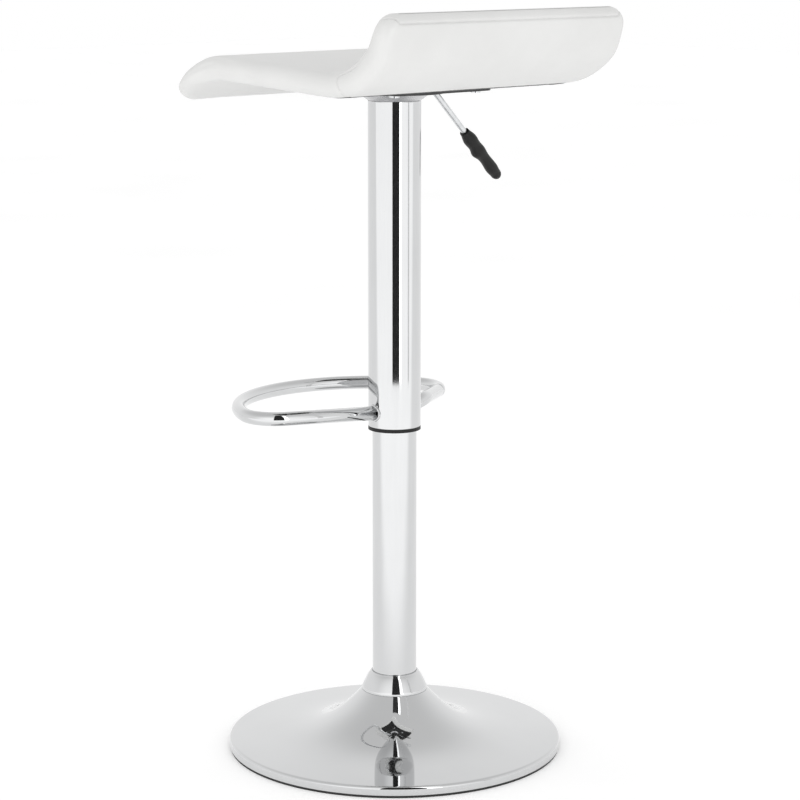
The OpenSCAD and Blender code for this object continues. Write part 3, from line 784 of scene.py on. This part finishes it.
cover_mesh = bpy.data.meshes.new("seat_cover")
cover_mesh.from_pydata([tuple(row[:3]) for row in shell], [], shell_faces())
for field_name, column in (("latitude", 3), ("turn", 4), ("along", 5)):
    field = cover_mesh.attributes.new(field_name, "FLOAT", "POINT")
    field.data.foreach_set("value", shell[:, column].astype(np.float32))
build = bmesh.new()
build.from_mesh(cover_mesh)
bmesh.ops.remove_doubles(build, verts=build.verts, dist=0.00002)
bmesh.ops.recalc_face_normals(build, faces=build.faces)
build.to_mesh(cover_mesh)
build.free()
seat_cover = link_piece("seat_cover", cover_mesh, "carriage", "white_vinyl", "seat_cushion", "back_panel")

# ---------- seat: foam pressure, creases and seams ----------

FOAM_PRESSURE = 4
FOAM_SWELL = 0.002
FOAM_FRAMES = 20
FOAM_EDGE = 0.05
SEWN_END = 1.6 * PAD_R


def read_field(mesh, name):
    values = np.empty(len(mesh.vertices), dtype=np.float32)
    mesh.attributes[name].data.foreach_get("value", values)
    return values


def read_points(mesh):
    points = np.empty(len(mesh.vertices) * 3)
    mesh.vertices.foreach_get("co", points)
    return points.reshape(-1, 3)


def swell(piece):
    """Lets the foam press the cover out, up to FOAM_SWELL, with the stapled underside held."""
    mesh = piece.data
    latitude, along = read_field(mesh, "latitude"), read_field(mesh, "along")
    held = np.flatnonzero((latitude < -1.4) & (along < panel_start))
    group = piece.vertex_groups.new(name="held")
    group.add([int(i) for i in held], 1.0, "REPLACE")
    cloth = piece.modifiers.new("foam", "CLOTH")
    cloth.settings.use_pressure = True
    cloth.settings.uniform_pressure_force = FOAM_PRESSURE
    cloth.settings.vertex_group_mass = group.name
    cloth.settings.effector_weights.gravity = 0
    cloth.settings.quality = 4
    before = read_points(mesh)
    for number in range(1, FOAM_FRAMES + 1):
        bpy.context.scene.frame_set(number)
    blown = piece.evaluated_get(bpy.context.evaluated_depsgraph_get()).to_mesh()
    move = read_points(blown) - before
    length = np.linalg.norm(move, axis=1)[:, None]
    move *= FOAM_SWELL * np.tanh(length / FOAM_SWELL) / np.maximum(length, 1e-9)
    # the sewn ends at the nose and the crest stay where they are
    from_end = np.minimum(along + PAD_R, seat_len + PAD_R - along)
    move *= np.clip((from_end - SEWN_END) / FOAM_EDGE, 0, 1)[:, None]
    piece.modifiers.remove(cloth)
    piece.vertex_groups.clear()
    bpy.context.scene.frame_set(1)
    mesh.vertices.foreach_set("co", (before + move).ravel())
    mesh.update()


def subdivide_once(piece):
    """Applies one level of subdivision."""
    piece.modifiers.new("finer", "SUBSURF").levels = 1
    finer = bpy.data.meshes.new_from_object(piece.evaluated_get(bpy.context.evaluated_depsgraph_get()))
    piece.modifiers.clear()
    piece.data = finer
    finer.name = piece.name


swell(seat_cover)
subdivide_once(seat_cover)

# Soft creases on each side of the nose: start and end as (distance from the nose, height up
# the round edge), then depth and width, all in metres
CREASES = (
    ((0.020, -0.005), (0.150, -0.009), 0.0009, 0.0030),
    ((0.012, 0.009), (0.070, 0.012), 0.0013, 0.0026),
    ((0.030, 0.002), (0.085, 0.006), 0.0012, 0.0024),
    ((0.050, 0.014), (0.105, 0.010), 0.0010, 0.0026),
    ((0.118, 0.001), (0.152, -0.004), 0.0010, 0.0026),
    ((0.285, 0.008), (0.330, 0.014), 0.0009, 0.0040),
)


def crease_depth(s, q):
    """How far the creases press in at distance s from the nose and height q up the edge."""
    total = np.zeros_like(s)
    for (s0, q0), (s1, q1), depth, width in CREASES:
        length = math.hypot(s1 - s0, q1 - q0)
        ahead = ((s - s0) * (s1 - s0) + (q - q0) * (q1 - q0)) / length
        aside = ((q - q0) * (s1 - s0) - (s - s0) * (q1 - q0)) / length
        fade = np.clip(np.minimum(ahead, length - ahead) / (0.3 * length), 0, 1)
        total += depth * fade * np.exp(-((aside / width) ** 2))
    return total


def press_creases(mesh):
    normals = np.empty(len(mesh.vertices) * 3)
    mesh.vertex_normals.foreach_get("vector", normals)
    latitude, turn, along = (read_field(mesh, name) for name in ("latitude", "turn", "along"))
    sideways = np.clip((turn - 0.8) / 0.6, 0, 1)
    depth = crease_depth(along, latitude * PAD_R) * sideways
    points = read_points(mesh) - normals.reshape(-1, 3) * depth[:, None]
    mesh.vertices.foreach_set("co", points.ravel())
    mesh.update()


press_creases(seat_cover.data)

SEAM_TOP = math.radians(-60)
SEAM_SIDE = math.radians(50)
SEAM_DEPTH = 0.0015
SEAM_HALF_W = 0.0012
SEAM_EDGE = 0.003
PUCKER_REACH = SEAM_EDGE * 1.2
PUCKER_DEPTH = 0.00018
PUCKER_RATE = 620


def seam_distance(latitude, turn, along):
    """Signed distance from the back panel's seam: above zero on the panel."""
    share = smooth(turn / (math.pi / 2))
    seam_latitude = SEAM_TOP + (SEAM_SIDE - SEAM_TOP) * share
    return min((seam_latitude - latitude) * PAD_R, along - panel_start)


def cut_along(build, layer, level):
    """Adds a line of edges where the layer's value crosses level."""
    crossing = [e for e in build.edges if (e.verts[0][layer] - level) * (e.verts[1][layer] - level) < 0]
    added = []
    for edge in crossing:
        start, end = edge.verts
        share = (level - start[layer]) / (end[layer] - start[layer])
        if 0.02 < share < 0.98:
            fresh = bmesh.utils.edge_split(edge, start, share)[1]
            fresh[layer] = level
            added.append(fresh)
        else:
            nearest = start if share <= 0.02 else end
            nearest[layer] = level
            added.append(nearest)
    bmesh.ops.connect_verts(build, verts=list(set(added)))


def sew_panel(mesh):
    """Presses the back panel's seam into the cover, with a short pucker along it."""
    build = bmesh.new()
    build.from_mesh(mesh)
    layers = [build.verts.layers.float[name] for name in ("latitude", "turn", "along")]
    seam = build.verts.layers.float.new("seam")
    for v in build.verts:
        v[seam] = seam_distance(*(v[layer] for layer in layers))
    for level in (-SEAM_EDGE, -SEAM_HALF_W, 0.0, SEAM_HALF_W, SEAM_EDGE):
        cut_along(build, seam, level)
    build.normal_update()
    moves = []
    for v in build.verts:
        if abs(v[seam]) < PUCKER_REACH:
            depth = SEAM_DEPTH * math.exp(-((v[seam] / SEAM_HALF_W) ** 2))
            place = v.co.x + v[layers[2]]
            depth += PUCKER_DEPTH * math.sin(place * PUCKER_RATE) * (1 - abs(v[seam]) / PUCKER_REACH)
            moves.append((v, v.normal * depth))
    for v, move in moves:
        v.co -= move
    build.to_mesh(mesh)
    build.free()


sew_panel(seat_cover.data)
seat_cover.data.polygons.foreach_set("use_smooth", [True] * len(seat_cover.data.polygons))

# ---------- seat: the liner ----------

LINER_T = 0.0006
LINER_INSET = 0.022
LINER_GAP = 0.0002
GATHER_H = 0.0003
liner_half_w = seat_half_w - LINER_INSET


def liner_point(x, s, depth):
    """A point of the liner at depth from the seat's underside."""
    point, slope = station(s)
    hem = max(abs(x) / liner_half_w, abs(2 * (s - liner_start) / (panel_start - liner_start) - 1))
    gather = GATHER_H * math.sin(x * 260) * math.sin(s * 240) * smooth((hem - 0.8) * 5)
    yz = point + upward(slope) * (depth + gather - PAD_R)
    return (x, yz[0], yz[1])


def liner_mesh(across=60, along=48):
    """A thin stretched cloth with a gathered hem."""
    points, faces = [], []
    row = across + 1
    layer = row * (along + 1)
    for depth in (LINER_GAP, LINER_GAP + LINER_T):
        for j in range(along + 1):
            s = liner_start + (panel_start - liner_start) * j / along
            for i in range(row):
                points.append(liner_point(liner_half_w * (2 * i / across - 1), s, depth))
    for j in range(along):
        for i in range(across):
            a = j * row + i
            faces.append((a, a + row, a + row + 1, a + 1))
            faces.append((layer + a, layer + a + 1, layer + a + row + 1, layer + a + row))
    rim = list(range(across)) + [j * row + across for j in range(along)]
    rim += [along * row + across - i for i in range(across)] + [(along - j) * row for j in range(along)]
    for a, b in zip(rim, rim[1:] + rim[:1]):
        faces.append((a, b, layer + b, layer + a))
    return mesh_from("liner_cloth", points, faces)


liner = link_piece("liner_cloth", liner_mesh(), "carriage", "black_cloth", "seat_liner")

# ---------- stage: floor, light and what the chrome reflects ----------

FLOOR_SIZE = 14.0
# the floor is brighter on the side that the photo is taken from, where the column mirrors it
FLOOR_GLOW = (0.23, 0.55)


def side_share(tree_nodes, links, place):
    """How far a place or a direction lies towards the side that the photo is taken from."""
    dot = tree_nodes.new("ShaderNodeVectorMath")
    dot.operation = "DOT_PRODUCT"
    dot.inputs[1].default_value = toward_camera
    links.new(place, dot.inputs[0])
    return dot.outputs["Value"]


def eased(tree_nodes, links, source, start, end, first, last):
    """Goes smoothly from first to last as source goes from start to end."""
    node = tree_nodes.new("ShaderNodeMapRange")
    node.interpolation_type = "SMOOTHSTEP"
    node.inputs["From Min"].default_value = start
    node.inputs["From Max"].default_value = end
    node.inputs["To Min"].default_value = first
    node.inputs["To Max"].default_value = last
    links.new(source, node.inputs["Value"])
    return node.outputs["Result"]


floor_mesh = bpy.data.meshes.new("floor")
floor_mesh.from_pydata(
    [(x * FLOOR_SIZE, y * FLOOR_SIZE, 0) for x, y in ((-1, -1), (1, -1), (1, 1), (-1, 1))], [], [(0, 1, 2, 3)]
)
floor = bpy.data.objects.new("floor", floor_mesh)
bpy.context.scene.collection.objects.link(floor)
floor_material, floor_nodes, floor_links, floor_shader = new_material("pale_floor")
floor_tone = object_noise(floor_nodes, floor_links, 2)
floor_links.new(
    ramp(floor_nodes, floor_links, floor_tone.outputs["Fac"], grey(0.86), grey(0.9)),
    floor_shader.inputs["Base Color"],
)
floor_shader.inputs["Roughness"].default_value = 0.9
floor_shader.inputs["Specular IOR Level"].default_value = 0.1
floor_shader.inputs["Emission Color"].default_value = grey(1)
floor_place = floor_nodes.new("ShaderNodeTexCoord").outputs["Object"]
floor_side = side_share(floor_nodes, floor_links, floor_place)
floor_glow = eased(floor_nodes, floor_links, floor_side, 0.1, 0.8, *FLOOR_GLOW)
floor_links.new(floor_glow, floor_shader.inputs["Emission Strength"])
floor_mesh.materials.append(floor_material)

# A white studio all round, brighter on the photo's side and dimmer overhead
world = bpy.data.worlds.new("studio")
bpy.context.scene.world = world
world.use_nodes = True
sky_nodes, sky_links = world.node_tree.nodes, world.node_tree.links
sky_place = sky_nodes.new("ShaderNodeTexCoord").outputs["Generated"]
sky_split = sky_nodes.new("ShaderNodeSeparateXYZ")
sky_links.new(sky_place, sky_split.inputs["Vector"])
sky_side = side_share(sky_nodes, sky_links, sky_place)
sky_strength = sky_nodes.new("ShaderNodeMath")
sky_strength.operation = "MULTIPLY"
sky_links.new(eased(sky_nodes, sky_links, sky_side, 0.3, 1.0, 1.0, 1.42), sky_strength.inputs[0])
sky_top = eased(sky_nodes, sky_links, sky_split.outputs["Z"], 0.25, 0.9, 1.0, 0.74)
sky_links.new(sky_top, sky_strength.inputs[1])
sky_links.new(sky_strength.outputs["Value"], sky_nodes["Background"].inputs["Strength"])
sky_nodes["Background"].inputs["Color"].default_value = grey(1)


def reflected_card(name, turn_from, turn_to, distance, bottom, top, colour, glow):
    """An upright strip that only reflections see. The angles run right from the camera's side."""
    card_steps = 6
    points = []
    for i in range(card_steps + 1):
        a = math.radians(turn_from + (turn_to - turn_from) * i / card_steps)
        foot = (toward_camera * math.cos(a) + camera_right * math.sin(a)) * distance
        points += [(foot.x, foot.y, bottom), (foot.x, foot.y, top)]
    faces = [(2 * i, 2 * i + 2, 2 * i + 3, 2 * i + 1) for i in range(card_steps)]
    mesh = bpy.data.meshes.new(name)
    mesh.from_pydata(points, [], faces)
    material, card_nodes, card_links, shader = new_material(name)
    shader.inputs["Base Color"].default_value = colour
    shader.inputs["Roughness"].default_value = 0.9
    shader.inputs["Emission Color"].default_value = grey(1)
    shader.inputs["Emission Strength"].default_value = glow
    mesh.materials.append(material)
    card = bpy.data.objects.new(name, mesh)
    bpy.context.scene.collection.objects.link(card)
    card.visible_camera = False
    card.visible_diffuse = False
    card.visible_shadow = False


reflected_card("dark_slit", -9, 21, 2.4, 0.0, 8.0, grey(0.01), 0.0)
reflected_card("slit_edge_right", 21, 31, 2.42, 0.0, 8.0, grey(0.8), 1.6)
reflected_card("side_strip", 60, 66, 2.4, 0.0, 8.0, grey(0.5), 0.25)


def area_light(name, turn, distance, height, size, power):
    """A soft square light that faces the stool's middle."""
    data = bpy.data.lights.new(name, "AREA")
    data.size = size
    data.energy = power
    light = bpy.data.objects.new(name, data)
    a = math.radians(turn)
    light.location = (toward_camera * math.cos(a) + camera_right * math.sin(a)) * distance
    light.location.z = height
    aim = Vector((0, 0, 0.5)) - light.location
    light.rotation_euler = aim.to_track_quat("-Z", "Y").to_euler()
    light.visible_glossy = False
    bpy.context.scene.collection.objects.link(light)


area_light("key_left", -55, 2.6, 2.4, 1.6, 2.5)
area_light("top_soft", 180, 0.8, 3.0, 2.0, 4)
